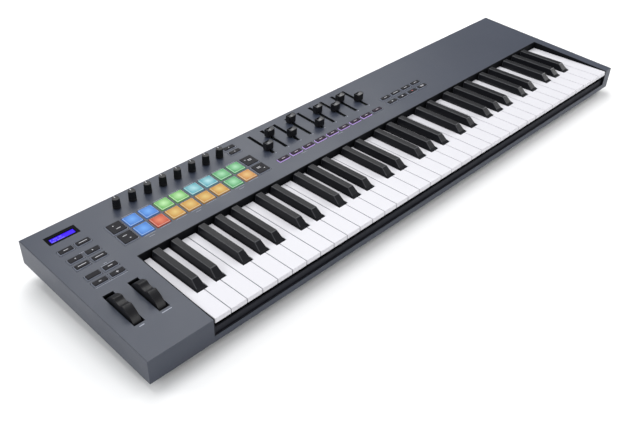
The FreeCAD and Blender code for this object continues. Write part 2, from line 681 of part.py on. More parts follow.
def fader_pot(x):
    slot_w, slot_l, slot_bottom = LEVER_W + 1.2, FADER_TRAVEL + LEVER_L + 1.0, LEVER_BOTTOM - 0.6
    body = centred_box(x, FADER_MIDDLE, FADER_POT_W, FADER_POT_L, BOARD_TOP, FADER_POT_TOP)
    return body.cut(centred_box(x, FADER_MIDDLE, slot_w, slot_l, slot_bottom, 0))


def knob_pot(x):
    body = centred_box(x, KNOB_Y, KNOB_POT_W, KNOB_POT_W, BOARD_TOP, KNOB_POT_TOP)
    return body.cut(cylinder(x, KNOB_Y, KNOB_SHAFT_BOTTOM - 0.6, 0, KNOB_SHAFT_R + 0.4))


def wheel_bracket():
    """A frame of upright plates that the wheels' stub axles turn in."""
    front, back, t = WHEEL_Y - BRACKET_REACH, WHEEL_Y + BRACKET_REACH, BRACKET_T
    low, high = BRACKET_BOTTOM, -WALL - FIT_GAP
    walls, holes = [], []
    near, far = WHEEL_T / 2 + BRACKET_SIDE_GAP, WHEEL_T / 2 + BRACKET_SIDE_GAP + t
    places = list(wheel_places().values())
    for x in places:
        walls.append(box(x - far, x - near, front, back, low, high))
        walls.append(box(x + near, x + far, front, back, low, high))
        holes.append(cylinder_x(x - far - 1, x + far + 1, WHEEL_Y, -WHEEL_DEPTH, WHEEL_AXLE_R + RUNNING_GAP))
    x0, x1 = min(places) - far, max(places) + far
    walls += [box(x0, x1, front - t, front, low, high), box(x0, x1, back, back + t, low, high)]
    return join(walls).cut(holes)


def usb_socket():
    """A square socket shell with its contact tongue."""
    face = CASE_D - WALL - SOCKET_GAP
    half_w, half_h, wall, inner = USB_W / 2, USB_H / 2, 1.7, face - USB_DEPTH
    left, right, top = USB_X - half_w - wall, USB_X + half_w + wall, USB_Z + half_h + wall
    shell = box(left, right, face - 16.0, face, MAIN_BOARD_TOP, top)
    cavity = box(USB_X - half_w, USB_X + half_w, inner, face + 1, USB_Z - half_h, USB_Z + half_h)
    tongue_w, tongue_h = USB_TONGUE_W / 2, USB_TONGUE_H / 2
    tongue_front = face - 3.0
    tongue = box(
        USB_X - tongue_w, USB_X + tongue_w, inner - 0.5, tongue_front, USB_Z - tongue_h, USB_Z + tongue_h
    )
    return join([shell.cut(cavity), tongue])


def midi_socket():
    """A round five-pin socket: the insert stands in a ring-shaped gap."""
    face = CASE_D - WALL - SOCKET_GAP
    body_w, body_depth, body_top = 19.0, 10.0, MIDI_Z + 9.6
    body = centred_box(MIDI_X, face - body_depth / 2, body_w, body_depth, MAIN_BOARD_TOP, body_top)
    gap = cylinder_y(MIDI_X, face - MIDI_DEPTH, face + 1, MIDI_Z, MIDI_R)
    insert = cylinder_y(MIDI_X, face - MIDI_DEPTH - 0.5, face - 2.4, MIDI_Z, MIDI_INSERT_R)
    pins = []
    for angle in (0, 45, 90, 135, 180):
        x = MIDI_X + MIDI_PIN_CIRCLE * math.cos(math.radians(angle))
        z = MIDI_Z - MIDI_PIN_CIRCLE * math.sin(math.radians(angle))
        pins.append(cylinder_y(x, face - MIDI_DEPTH + 0.5, face, z, MIDI_PIN_R))
    return join([body.cut(gap), insert]).cut(pins)


def sustain_jack():
    """A block on the main board with a bore for the plug, open at its inner end."""
    face = CASE_D - WALL - SOCKET_GAP
    body_w, body_top = 14.0, JACK_Z + 7.0
    body = centred_box(JACK_X, face - JACK_LENGTH / 2, body_w, JACK_LENGTH, MAIN_BOARD_TOP, body_top)
    return body.cut(cylinder_y(JACK_X, face - JACK_LENGTH - 1, face + 1, JACK_Z, JACK_R))


def make_electronics():
    export("control_board", to_world(control_board()))
    export("fader_potentiometers", [to_world(fader_pot(x)) for x, _ in fader_places()])
    export("knob_potentiometers", [to_world(knob_pot(x)) for x in knob_places()])
    half = PAD_SIZE / 2
    last_x = GRID_X + GRID_PITCH * (GRID_COLUMNS - 1)
    front, back = PAD_ROWS[1] - half, PAD_ROWS[0] + half
    pad_sheet = box(GRID_X - half, last_x + half, front, back, PAD_SHEET_BOTTOM, PAD_SHEET_TOP)
    export("pad_sensor_board", to_world(pad_sheet))
    export("wheel_bracket", to_world(wheel_bracket()))
    window_w, window_l = DISPLAY_W - DISPLAY_GAP, DISPLAY_L - DISPLAY_GAP
    window = centred_box(BLOCK_X, DISPLAY_Y, window_w, window_l, WINDOW_BOTTOM, WINDOW_TOP)
    export("display_window", to_world(window))
    module = centred_box(BLOCK_X, DISPLAY_Y, MODULE_W, MODULE_L, MODULE_BOTTOM, MODULE_TOP)
    export("display_module", to_world(module))
    back = CASE_D - WALL - 1.0
    bottom, top = MAIN_BOARD_TOP - BOARD_T, MAIN_BOARD_TOP
    main_board = box(MAIN_BOARD_LEFT, MAIN_BOARD_RIGHT, MAIN_BOARD_FRONT, back, bottom, top)
    export("main_board", to_world(main_board))
    export("usb_socket", to_world(usb_socket()))
    export("midi_socket", to_world(midi_socket()))
    export("sustain_jack", to_world(sustain_jack()))


os.makedirs("parts", exist_ok=True)
make_keys()
make_controls()
make_case()
make_key_action()
make_electronics()
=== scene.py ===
import bmesh
import bpy
import json
import math
from mathutils import Matrix, Vector

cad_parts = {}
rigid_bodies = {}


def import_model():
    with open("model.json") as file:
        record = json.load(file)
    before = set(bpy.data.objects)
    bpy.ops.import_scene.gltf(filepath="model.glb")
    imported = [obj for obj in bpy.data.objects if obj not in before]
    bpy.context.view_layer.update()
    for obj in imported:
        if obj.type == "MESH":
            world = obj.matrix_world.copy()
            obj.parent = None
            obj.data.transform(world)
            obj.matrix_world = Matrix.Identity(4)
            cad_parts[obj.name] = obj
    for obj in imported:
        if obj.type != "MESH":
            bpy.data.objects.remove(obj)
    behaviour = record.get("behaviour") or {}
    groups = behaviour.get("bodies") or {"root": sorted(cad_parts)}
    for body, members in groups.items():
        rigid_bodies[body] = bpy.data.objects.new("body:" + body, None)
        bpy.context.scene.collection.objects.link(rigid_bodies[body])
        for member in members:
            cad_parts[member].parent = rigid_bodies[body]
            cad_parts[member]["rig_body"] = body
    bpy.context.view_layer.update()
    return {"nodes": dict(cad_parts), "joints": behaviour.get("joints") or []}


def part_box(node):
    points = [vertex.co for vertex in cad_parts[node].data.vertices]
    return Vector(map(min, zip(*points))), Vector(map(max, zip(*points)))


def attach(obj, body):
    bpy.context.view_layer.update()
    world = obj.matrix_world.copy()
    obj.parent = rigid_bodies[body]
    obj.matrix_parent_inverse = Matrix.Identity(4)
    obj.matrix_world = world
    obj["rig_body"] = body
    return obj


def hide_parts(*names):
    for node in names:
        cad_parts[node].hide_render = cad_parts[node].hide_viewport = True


# The looks of the synthesizer keyboard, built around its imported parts.
#
# Lengths are in metres. The panel frame has its origin in the middle of the panel's front edge, with X to
# the right, Y up the slope and Z out of the panel. PANEL takes a point from it to the world. Places come
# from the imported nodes, which panel_box() and cap_tops() measure.

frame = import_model()
MM = 0.001

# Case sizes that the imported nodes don't give directly
CASE_H = 35.0 * MM
WALL = 2.5 * MM
LIP_TOP = -26.0 * MM
SLIP_REACH, SLIP_RISE = 8.0 * MM, 18.0 * MM
WHEEL_SLOT_L = 61.8 * MM
FADER_SLOT_W, FADER_SLOT_L = 4.4 * MM, 54.4 * MM
FADER_TRIM_W = 0.45 * MM
CASE_EDGE_R = 0.35 * MM
# Width and inset of the dark line round the panel, partly a seam and partly a painted edge reflection
SEAM_SHADE_W, SEAM_SHADE_INSET = 0.35 * MM, 0.9 * MM
PRINT_T, PRINT_GAP = 0.04 * MM, 0.005 * MM
PRINT_W, LABEL_W = 0.45 * MM, 1.1 * MM

# Keys: how far their edges are rounded, and how much of a black key shows above the white ones
WHITE_EDGE_R, BLACK_EDGE_R = 0.6 * MM, 0.75 * MM
BLACK_SHOWN = 9.3 * MM

# Sizes of the controls
CAP_INSET = 0.3 * MM
SKIRT_MARGIN = 0.7 * MM
SKIRT_TOP = 0.6 * MM
SHEET_T = 1.2 * MM
KNOB_SHAFT_R = 3.0 * MM
KNOB_LIFT = 0.8 * MM
FADER_LIFT = 1.2 * MM
FADER_SCOOP, FADER_CORNER, FADER_EDGE = 3.4 * MM, 1.8 * MM, 0.7 * MM
WHEEL_HALF_T, WHEEL_EDGE = 5.75 * MM, 0.8 * MM
WHEEL_HUB_R, WHEEL_AXLE_R = 9.0 * MM, 3.0 * MM
NOTCH_R, NOTCH_DEPTH, NOTCH_BLEND = 11.0 * MM, 4.6 * MM, 0.22 * MM
LIT_W, LIT_L, LIT_SHIFT = 33.5 * MM, 9.0 * MM, -0.6 * MM

# Camera, in the panel frame: where it stands, and the way it looks
CAMERA_AT = Vector((-0.75896, -0.50282, 0.64309))
CAMERA_AZIMUTH = 46.61
CAMERA_ELEVATION = 38.444
CAMERA_RIGHT = Vector((0.70665, -0.70668, 0.03535))
CAMERA_LENS = 45.472

# Pad colours, each at the pad's edge and in its middle, then their order from left to right in both rows
BLUE = ((0.06, 0.20, 0.62), (0.16, 0.40, 0.86))
RED = ((0.52, 0.07, 0.035), (0.76, 0.24, 0.13))
GREEN = ((0.12, 0.44, 0.09), (0.52, 0.82, 0.42))
CYAN = ((0.08, 0.36, 0.43), (0.43, 0.73, 0.77))
AMBER = ((0.56, 0.26, 0.04), (0.74, 0.54, 0.19))
ORANGE = ((0.58, 0.24, 0.06), (0.75, 0.50, 0.20))
MINT = ((0.07, 0.36, 0.12), (0.37, 0.70, 0.43))
PAD_COLOURS = (
    (BLUE, BLUE, GREEN, GREEN, CYAN, CYAN, MINT, MINT),
    (BLUE, RED, AMBER, AMBER, AMBER, AMBER, MINT, ORANGE),
)
LILAC = (0.60, 0.42, 0.90)

# Marks on the buttons, row by row from the back, left to right
MENU_MARKS = ("bar", "wide", "left", "right", "wide", "wide", "none", "bar", "minus", "plus")
PAGE_MARKS = ("up", "down")
TRANSPORT_MARKS = ("bar", "wide", "bar", "bar", "play", "square", "circle", "loop")


def joint(name):
    return next(j for j in frame["joints"] if j["name"] == name)


def body_of(node):
    return frame["nodes"][node]["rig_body"]


SLOPE = Vector(joint("fader_1_slide")["axis"])
LEAN = math.atan2(SLOPE.z, SLOPE.y)
CASE_LOW, CASE_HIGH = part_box("top_case")
PANEL_ORIGIN = Vector((0.0, CASE_LOW.y, CASE_LOW.z + CASE_H * math.cos(LEAN)))
PANEL = Matrix.Translation(PANEL_ORIGIN) @ Matrix.Rotation(LEAN, 4, "X")
TO_PANEL = PANEL.inverted()
CASE = "case"


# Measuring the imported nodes


def panel_box(node):
    """Lowest and highest corner of a node in the panel frame."""
    points = [TO_PANEL @ v.co for v in frame["nodes"][node].data.vertices]
    low = Vector([min(p[i] for p in points) for i in range(3)])
    high = Vector([max(p[i] for p in points) for i in range(3)])
    return low, high


def panel_middle(node):
    """The middle of a node's box in the panel frame."""
    low, high = panel_box(node)
    return (low + high) / 2


# Slots' ends, from the middles of what sits in them
WHEEL_SLOT_FRONT = panel_middle("pitch_wheel").y - WHEEL_SLOT_L / 2
FADER_SLOT_FRONT = panel_middle("fader_potentiometers").y - FADER_SLOT_L / 2
FADER_SLOT_BACK = FADER_SLOT_FRONT + FADER_SLOT_L


def clean_copy(node):
    """A bmesh of a node's surface, with doubled points merged and flat faces made whole."""
    bm = bmesh.new()
    bm.from_mesh(frame["nodes"][node].data)
    bmesh.ops.remove_doubles(bm, verts=bm.verts, dist=1e-6)
    bmesh.ops.dissolve_limit(bm, angle_limit=math.radians(1.0), verts=bm.verts, edges=bm.edges)
    return bm


def cap_tops(node):
    """Each raised cap of a mat in the panel frame: x, y, width, length and height, back row first."""
    bm = clean_copy(node)
    bm.transform(TO_PANEL)
    bm.normal_update()
    level = max(v.co.z for v in bm.verts) - 1e-5
    tops = []
    for face in bm.faces:
        if face.normal.z > 0.99 and all(v.co.z > level for v in face.verts):
            xs = [v.co.x for v in face.verts]
            ys = [v.co.y for v in face.verts]
            x, y = (min(xs) + max(xs)) / 2, (min(ys) + max(ys)) / 2
            w, l = max(xs) - min(xs) + 2 * CAP_INSET, max(ys) - min(ys) + 2 * CAP_INSET
            tops.append((x, y, w, l, max(v.co.z for v in face.verts)))
    bm.free()
    return sorted(tops, key=lambda t: (-round(t[1], 3), t[0]))


# Mesh building


def ring_rect(x, y, w, l, corner, z, steps=4):
    """A closed ring of points: a rectangle with rounded corners at height z."""
    corner = max(min(corner, w / 2 - 1e-5, l / 2 - 1e-5), 1e-5)
    points = []
    for side_x, side_y, start in ((1, 1, 0), (-1, 1, 90), (-1, -1, 180), (1, -1, 270)):
        for i in range(steps + 1):
            angle = math.radians(start + 90.0 * i / steps)
            px = x + side_x * (w / 2 - corner) + corner * math.cos(angle)
            py = y + side_y * (l / 2 - corner) + corner * math.sin(angle)
            points.append(Vector((px, py, z)))
    return points


def loft(bm, rings, material=0, cap_low=True, cap_high=True):
    """Joins closed rings of equal length into a skin, and closes its ends."""
    made = [[bm.verts.new(p) for p in ring] for ring in rings]
    count = len(made[0])
    faces = []
    for low, high in zip(made, made[1:]):
        for i in range(count):
            k = (i + 1) % count
            faces.append(bm.faces.new((low[i], low[k], high[k], high[i])))
    if cap_low:
        faces.append(bm.faces.new(list(reversed(made[0]))))
    if cap_high:
        faces.append(bm.faces.new(made[-1]))
    for face in faces:
        face.material_index = material
    return faces


def fillet(low, high, radius, steps=3):
    """Inset and height along a wall that ends in a rounded top edge."""
    steps_up = [(0.0, low)]
    for i in range(steps + 1):
        angle = math.radians(90.0 * i / steps)
        steps_up.append((radius * (1 - math.cos(angle)), high - radius + radius * math.sin(angle)))
    return steps_up


def block(bm, x, y, w, l, low, high, corner, edge, material=0):
    """An upright moulded block with rounded corners and a rounded top edge."""
    rings = [ring_rect(x, y, w - 2 * i, l - 2 * i, corner - i, z) for i, z in fillet(low, high, edge)]
    return loft(bm, rings, material)


def prism(bm, outline, low, high, material=0):
    """A flat piece with the given outline of (x, y) points."""
    rings = [[Vector((x, y, z)) for x, y in outline] for z in (low, high)]
    return loft(bm, rings, material)


def make_piece(name, bm, body, materials, nodes=(), matrix=None, sharp=35.0):
    """Turns a bmesh into a smooth-shaded piece that rides on a body and may replace nodes."""
    if matrix is not None:
        bm.transform(matrix)
    bmesh.ops.recalc_face_normals(bm, faces=bm.faces)
    mesh = bpy.data.meshes.new(name)
    bm.to_mesh(mesh)
    bm.free()
    for material in materials:
        mesh.materials.append(material)
    mesh.polygons.foreach_set("use_smooth", [True] * len(mesh.polygons))
    mesh.set_sharp_from_angle(angle=math.radians(sharp))
    piece = bpy.data.objects.new(name, mesh)
    bpy.context.scene.collection.objects.link(piece)
    weighted = piece.modifiers.new("even_shading", "WEIGHTED_NORMAL")
    weighted.keep_sharp = True
    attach(piece, body)
    if nodes:
        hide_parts(*nodes)
    return piece


def rounded_copy(name, node, radius, wanted, material, segments=3, edge_highlight=None):
    """A node's own shape with its chosen sharp edges rounded; given an edge highlight, the rounded edges
    take it as a lighter painted highlight.
    """
    bm = clean_copy(node)
    limit = math.radians(30.0)
    edges = [e for e in bm.edges if len(e.link_faces) == 2 and e.calc_face_angle(0) > limit and wanted(e)]
    look = {"segments": segments, "profile": 0.5, "affect": "EDGES", "clamp_overlap": True}
    bmesh.ops.bevel(bm, geom=edges, offset=radius, material=1 if edge_highlight else -1, **look)
    return make_piece(name, bm, body_of(node), [material] + [edge_highlight] * bool(edge_highlight), [node])


# Materials


class Nodes:
    """A material's node tree with short calls for adding nodes and links."""

    def __init__(self, name):
        self.material = bpy.data.materials.new(name)
        self.material.use_nodes = True
        self.tree = self.material.node_tree
        self.shader = self.tree.nodes["Principled BSDF"]
        self.place = self.add("ShaderNodeTexCoord").outputs["Object"]

    def add(self, kind, **inputs):
        node = self.tree.nodes.new(kind)
        for key, value in inputs.items():
            node.inputs[key.replace("_", " ")].default_value = value
        return node

    def link(self, output, socket):
        self.tree.links.new(output, socket)

    def noise(self, scale, detail=2.0):
        node = self.add("ShaderNodeTexNoise", Scale=scale, Detail=detail, Roughness=0.5)
        self.link(self.place, node.inputs["Vector"])
        return node.outputs["Fac"]

    def ranged(self, value, low, high, start=0.3, end=0.7):
        node = self.add("ShaderNodeMapRange")
        self.link(value, node.inputs["Value"])
        for key, number in (("From Min", start), ("From Max", end), ("To Min", low), ("To Max", high)):
            node.inputs[key].default_value = number
        return node.outputs["Result"]

    def blend(self, factor, first, second):
        node = self.tree.nodes.new("ShaderNodeMix")
        node.data_type = "RGBA"
        if isinstance(factor, float):
            node.inputs["Factor"].default_value = factor
        else:
            self.link(factor, node.inputs["Factor"])
        for socket, colour in ((node.inputs["A"], first), (node.inputs["B"], second)):
            if isinstance(colour, tuple):
                socket.default_value = (*colour, 1.0)
            else:
                self.link(colour, socket)
        return node.outputs["Result"]

    def bump(self, height, distance):
        node = self.add("ShaderNodeBump", Strength=1.0, Distance=distance)
        self.link(height, node.inputs["Height"])
        return node.outputs["Normal"]


def shade(colour, factor):
    return tuple(min(1.0, c * factor) for c in colour)


def moulded(name, colour, roughness, grain=1500.0, depth=0.03, mottle=0.06, level=0.5):
    """Moulded plastic or rubber: a fine grain in the surface and a faint clouding of colour and gloss."""
    n = Nodes(name)
    cloud = n.noise(14.0, 4.0)
    speck = n.noise(grain * 0.6, 1.0)
    base = n.blend(n.ranged(cloud, 0.0, 1.0), shade(colour, 1 - mottle), shade(colour, 1 + mottle))
    base = n.blend(n.ranged(speck, 0.0, 0.35), base, shade(colour, 1 + 2.5 * mottle))
    n.link(base, n.shader.inputs["Base Color"])
    n.link(n.ranged(cloud, roughness - 0.05, roughness + 0.05), n.shader.inputs["Roughness"])
    n.link(n.bump(n.noise(grain, 3.0), depth * MM), n.shader.inputs["Normal"])
    n.shader.inputs["Specular IOR Level"].default_value = level
    return n.material


def metal(name, colour, roughness):
    """Plated or brushed metal with fine drawn streaks along X."""
    n = Nodes(name)
    stretch = n.add("ShaderNodeMapping")
    stretch.inputs["Scale"].default_value = (60.0, 1500.0, 1500.0)
    n.link(n.place, stretch.inputs["Vector"])
    streak = n.add("ShaderNodeTexNoise", Scale=1.0, Detail=2.0)
    n.link(stretch.outputs["Vector"], streak.inputs["Vector"])
    tone = n.blend(n.ranged(streak.outputs["Fac"], 0.0, 1.0), shade(colour, 0.85), shade(colour, 1.1))
    n.link(tone, n.shader.inputs["Base Color"])
    gloss = n.ranged(streak.outputs["Fac"], roughness - 0.08, roughness + 0.08)
    n.link(gloss, n.shader.inputs["Roughness"])
    n.shader.inputs["Metallic"].default_value = 1.0
    return n.material


def board(name):
    """Green solder mask with paler copper tracks under it."""
    n = Nodes(name)
    tracks = n.add("ShaderNodeTexBrick", Scale=140.0)
    tracks.inputs["Color1"].default_value = (0.012, 0.075, 0.028, 1)
    tracks.inputs["Color2"].default_value = (0.015, 0.090, 0.033, 1)
    tracks.inputs["Mortar"].default_value = (0.03, 0.16, 0.06, 1)
    tracks.inputs["Mortar Size"].default_value = 0.05
    n.link(n.place, tracks.inputs["Vector"])
    n.link(tracks.outputs["Color"], n.shader.inputs["Base Color"])
    n.link(n.ranged(n.noise(60.0), 0.25, 0.4), n.shader.inputs["Roughness"])
    n.link(n.bump(tracks.outputs["Fac"], 0.02 * MM), n.shader.inputs["Normal"])
    return n.material


def light_up(n, tone, strength):
    """Gives a surface a tone that comes partly from its own light and partly from the room's."""
    n.link(n.blend(0.55, tone, (0.0, 0.0, 0.0)), n.shader.inputs["Base Color"])
    n.link(tone, n.shader.inputs["Emission Color"])
    n.shader.inputs["Emission Strength"].default_value = strength
    n.shader.inputs["Specular IOR Level"].default_value = 0.2


def pad_glow(name, edge, middle):
    """The lit top of a silicone pad: mottled light that is brightest in the middle and deep at the rim."""
    n = Nodes(name)
    spread = n.add("ShaderNodeTexGradient")
    spread.gradient_type = "SPHERICAL"
    centre = n.add("ShaderNodeMapping")
    centre.inputs["Location"].default_value = (-1.0, -1.0, 0.0)
    centre.inputs["Scale"].default_value = (2.0, 2.0, 0.0)
    uv = n.add("ShaderNodeUVMap")
    n.link(uv.outputs["UV"], centre.inputs["Vector"])
    n.link(centre.outputs["Vector"], spread.inputs["Vector"])
    haze = n.add("ShaderNodeMath")
    haze.operation = "MULTIPLY_ADD"
    haze.inputs[1].default_value = 0.45
    n.link(n.noise(160.0, 3.0), haze.inputs[0])
    n.link(spread.outputs["Fac"], haze.inputs[2])
    glow = n.blend(n.ranged(haze.outputs["Value"], 0.0, 1.0, 0.10, 1.15), edge, middle)
    light_up(n, glow, 0.40)
    n.link(n.ranged(n.noise(300.0), 0.42, 0.58), n.shader.inputs["Roughness"])
    n.link(n.bump(n.noise(1500.0), 0.02 * MM), n.shader.inputs["Normal"])
    return n.material


def lit_rim(name, tone, strength=0.45):
    """The translucent side wall of a lit pad or button."""
    n = Nodes(name)
    haze = n.ranged(n.noise(220.0), 0.0, 1.0)
    light_up(n, n.blend(haze, shade(tone, 0.88), shade(tone, 1.05)), strength)
    n.shader.inputs["Roughness"].default_value = 0.45
    return n.material


def display_pixels(name):
    """A violet-blue backlit character display with its dot grid."""
    n = Nodes(name)
    dots = n.add("ShaderNodeTexBrick", Scale=900.0)
    dots.offset = 0.0
    dots.inputs["Color1"].default_value = (0.050, 0.014, 0.86, 1)
    dots.inputs["Color2"].default_value = (0.056, 0.016, 0.90, 1)
    dots.inputs["Mortar"].default_value = (0.036, 0.010, 0.66, 1)
    dots.inputs["Mortar Size"].default_value = 0.06
    dots.inputs["Brick Width"].default_value = 0.5
    dots.inputs["Row Height"].default_value = 0.5
    n.link(n.place, dots.inputs["Vector"])
    light_up(n, dots.outputs["Color"], 0.85)
    n.shader.inputs["Specular IOR Level"].default_value = 0.05
    n.shader.inputs["Roughness"].default_value = 0.35
    return n.material


CASE_GREY = moulded("case_grey", (0.026, 0.033, 0.053), 0.42, mottle=0.03, level=0.52)
BASE_GREY = moulded("base_grey", (0.030, 0.032, 0.037), 0.6)
# Painted shade for the cut walls inside the openings, also used for the dark line round the panel
SEAM_AND_SHADE_DARK = moulded("seam_and_painted_shade", (0.016, 0.017, 0.020), 0.7, level=0.2)
SLIP_BLACK = moulded("slip_black", (0.018, 0.019, 0.025), 0.6, level=0.15)
INNER_BLACK = moulded("inner_black", (0.0045, 0.005, 0.0065), 0.6, level=0.06)
WHITE_KEY = moulded("white_key", (0.605, 0.60, 0.633), 0.34, 600.0, 0.01, mottle=0.012, level=0.22)
BLACK_KEY = moulded("black_key", (0.0052, 0.0056, 0.0076), 0.38, grain=1800.0, mottle=0.12, level=0.17)
# A lighter, glossier grey for the black keys' rounded edges: a painted highlight
BLACK_EDGE_HIGHLIGHT = moulded("black_key_edge_highlight", (0.032, 0.033, 0.038), 0.32, mottle=0.06, level=0.4)
# The fader saddles' satin grey is lighter than the caps' black: partly the satin finish, partly a painted
# highlight
SADDLE_SATIN_HIGHLIGHT = moulded("saddle_satin_highlight", (0.040, 0.041, 0.046), 0.34, grain=2200.0, depth=0.01, level=0.9)
CONTROL_BLACK = moulded("control_black", (0.006, 0.006, 0.0075), 0.36, grain=2200.0, mottle=0.10, level=0.26)
BUTTON_BLACK = moulded("button_black", (0.010, 0.010, 0.013), 0.5, grain=2500.0, mottle=0.10, level=0.12)
BUTTON_PLUM = moulded("button_plum", (0.016, 0.009, 0.018), 0.5, grain=2500.0, mottle=0.10, level=0.12)
SKIRT_PALE = moulded("skirt_pale", (0.22, 0.24, 0.30), 0.4, mottle=0.05)
PRINT_GREY = moulded("print_grey", (0.30, 0.32, 0.38), 0.6, mottle=0.03)
MARK_WHITE = moulded("mark_white", (0.50, 0.50, 0.53), 0.5, mottle=0.03)
MARK_GREY = moulded("mark_grey", (0.46, 0.40, 0.45), 0.5, mottle=0.03)
RECORD_RED = moulded("record_red", (0.34, 0.05, 0.05), 0.5, mottle=0.05)
RUBBER = moulded("foot_rubber", (0.018, 0.018, 0.018), 0.8, grain=900.0, depth=0.08)
SILICONE = moulded("contact_silicone", (0.35, 0.35, 0.35), 0.6)
STEEL = metal("steel", (0.56, 0.56, 0.57), 0.34)
BOARD = board("circuit_board")
BEZEL = moulded("display_bezel", (0.0015, 0.0015, 0.002), 0.25, depth=0.0, level=0.02)
DISPLAY = display_pixels("display_pixels")
DISPLAY_TEXT = lit_rim("display_text", (0.17, 0.13, 0.92), 0.6)
LILAC_RIM = lit_rim("lilac_rim", LILAC)


# Case


def print_lines(bm, lines, width=PRINT_W):
    """Thin printed strokes on the panel, each from (x0, y0) to (x1, y1)."""
    for x0, y0, x1, y1 in lines:
        along = Vector((x1 - x0, y1 - y0)).normalized()
        side = Vector((-along.y, along.x)) * width / 2
        outline = [(x0 - side.x, y0 - side.y), (x1 - side.x, y1 - side.y)]
        outline += [(x1 + side.x, y1 + side.y), (x0 + side.x, y0 + side.y)]
        prism(bm, outline, PRINT_GAP, PRINT_T)


def make_case():
    """The case with rounded outer edges, painted shade on its cut walls, a dark lip top, and a seam line
    round the panel that is partly a painted edge reflection.
    """
    half = CASE_HIGH.x
    edge = 0.2 * MM

    def outer(e):
        points = [TO_PANEL @ v.co for v in e.verts]
        on_panel = all(abs(p.z) < edge for p in points)
        on_side = all(half - abs(p.x) < edge for p in points)
        on_front = all(abs(p.y) < edge for p in points)
        return on_panel or on_side or on_front

    shell = rounded_copy("case_shell", "top_case", CASE_EDGE_R, outer, CASE_GREY, segments=2)
    shell.data.materials.append(SEAM_AND_SHADE_DARK)
    shell.data.materials.append(SLIP_BLACK)
    depth = panel_box("top_case")[1].y
    for face in shell.data.polygons:
        middle = TO_PANEL @ face.center
        normal = (TO_PANEL.to_3x3() @ face.normal).normalized()
        # Painted shade: the inner cut walls of the openings are coloured dark, as shade falls in them
        inside = half - abs(middle.x) > WALL + edge and WALL + edge < middle.y < depth - WALL - edge
        if inside and abs(normal.z) < 0.5 and -WALL < middle.z < 0:
            face.material_index = 1
        if middle.y < WALL + edge and abs(middle.z - LIP_TOP) < edge and normal.z > 0.9:
            face.material_index = 2
    # A fine dark line just inside the panel's left, back and right edges: partly a seam, partly a painted
    # dark reflection of the rounded edge
    bm = bmesh.new()
    left, right, front, back = -half + SEAM_SHADE_INSET, half - SEAM_SHADE_INSET, SEAM_SHADE_INSET, depth - SEAM_SHADE_INSET
    sides = [(left, front, left, back), (left, back, right, back), (right, front, right, back)]
    print_lines(bm, sides, width=SEAM_SHADE_W)
    make_piece("panel_edge_seam_shade", bm, CASE, [SEAM_AND_SHADE_DARK], matrix=PANEL)


def stroke_row(caps, y, reach, gap):
    """One stroke along a row of caps, from the first to the last, broken in the middle of each gap."""
    return [(x - w / 2 - reach + gap, y, x + w / 2 + reach - gap, y) for x, _, w, _, _ in caps]


def make_panel_print():
    """Plain lines and dashes beside the controls, in place of any words."""
    menu, pads = cap_tops("menu_buttons"), cap_tops("pads")
    faders = cap_tops("fader_buttons")
    lines = []
    left, right = menu[8], menu[9]
    low = left[1] - left[3] / 2 - 2.6 * MM
    lines.append((left[0] - left[2] / 2 - MM, low, right[0] + right[2] / 2 + MM, low))
    high = menu[7][1] + menu[7][3] / 2 + 2.4 * MM
    lines.append((menu[7][0] - menu[7][2] / 2, high, menu[7][0] + menu[7][2] / 2, high))
    lines.append((menu[7][0] - 4 * MM, high + 2.6 * MM, menu[7][0] + MM, high + 2.6 * MM))
    middle = (menu[0][0] + menu[1][0]) / 2
    y = menu[2][1] + menu[2][3] / 2 + 2.2 * MM
    lines.append((middle - 3 * MM, y, middle + 3 * MM, y))
    back, front = pads[:8], pads[8:]
    y_back = back[0][1] + back[0][3] / 2 + 3.0 * MM
    y_front = front[0][1] - front[0][3] / 2 - 3.2 * MM
    lines += stroke_row(back, y_back, 1.6 * MM, 2.6 * MM)
    lines += stroke_row(front, y_front, 1.6 * MM, 2.6 * MM)
    y = y_front - 4.2 * MM
    for a in (0, 3, 6):
        lines.append((back[a][0] - 4 * MM, y, back[a][0] + 4 * MM, y))
    labels = []
    for name in ("pitch_wheel", "mod_wheel"):
        x = panel_middle(name).x
        reach = 3.2 * MM if name == "pitch_wheel" else 6.5 * MM
        y = WHEEL_SLOT_FRONT - 4.0 * MM
        labels.append((x - reach, y, x + reach, y))
    y = FADER_SLOT_FRONT - 2.2 * MM
    for i in range(1, 10):
        x = panel_middle("fader_%d" % i).x
        labels.append((x + 1.5 * MM, y, x + 3.0 * MM, y))
    for a in (1, 4):
        x = faders[a][0] + 9 * MM
        y = faders[a][1] - faders[a][3] / 2 - 4.0 * MM
        lines.append((x - 5 * MM, y, x + 5 * MM, y))
    bm = bmesh.new()
    print_lines(bm, lines)
    print_lines(bm, labels, width=LABEL_W)
    make_piece("panel_print", bm, CASE, [PRINT_GREY], matrix=PANEL)


def make_slot_trims():
    """A fine black edge along both sides of each fader's slot."""
    trims = []
    for i in range(1, 10):
        for side in (-1, 1):
            x = panel_middle("fader_%d" % i).x + side * (FADER_SLOT_W + FADER_TRIM_W) / 2
            trims.append((x, FADER_SLOT_FRONT, x, FADER_SLOT_BACK))
    bm = bmesh.new()
    print_lines(bm, trims, width=FADER_TRIM_W)
    make_piece("fader_slot_trims", bm, CASE, [INNER_BLACK], matrix=PANEL)


# Keys


def make_keys():
    for node in sorted(frame["nodes"]):
        if node.startswith("white_key"):
            make_white_keys(node)
        elif node.startswith("black_keys"):
            make_black_keys(node)


def make_white_keys(node):
    low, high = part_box(node)
    top, front = high.z, low.y

    def visible(e):
        on_top = all(v.co.z > top - 0.2 * MM for v in e.verts)
        on_front = all(v.co.y < front + 0.2 * MM for v in e.verts)
        return on_top or on_front

    rounded_copy("keys_" + node, node, WHITE_EDGE_R, visible, WHITE_KEY)


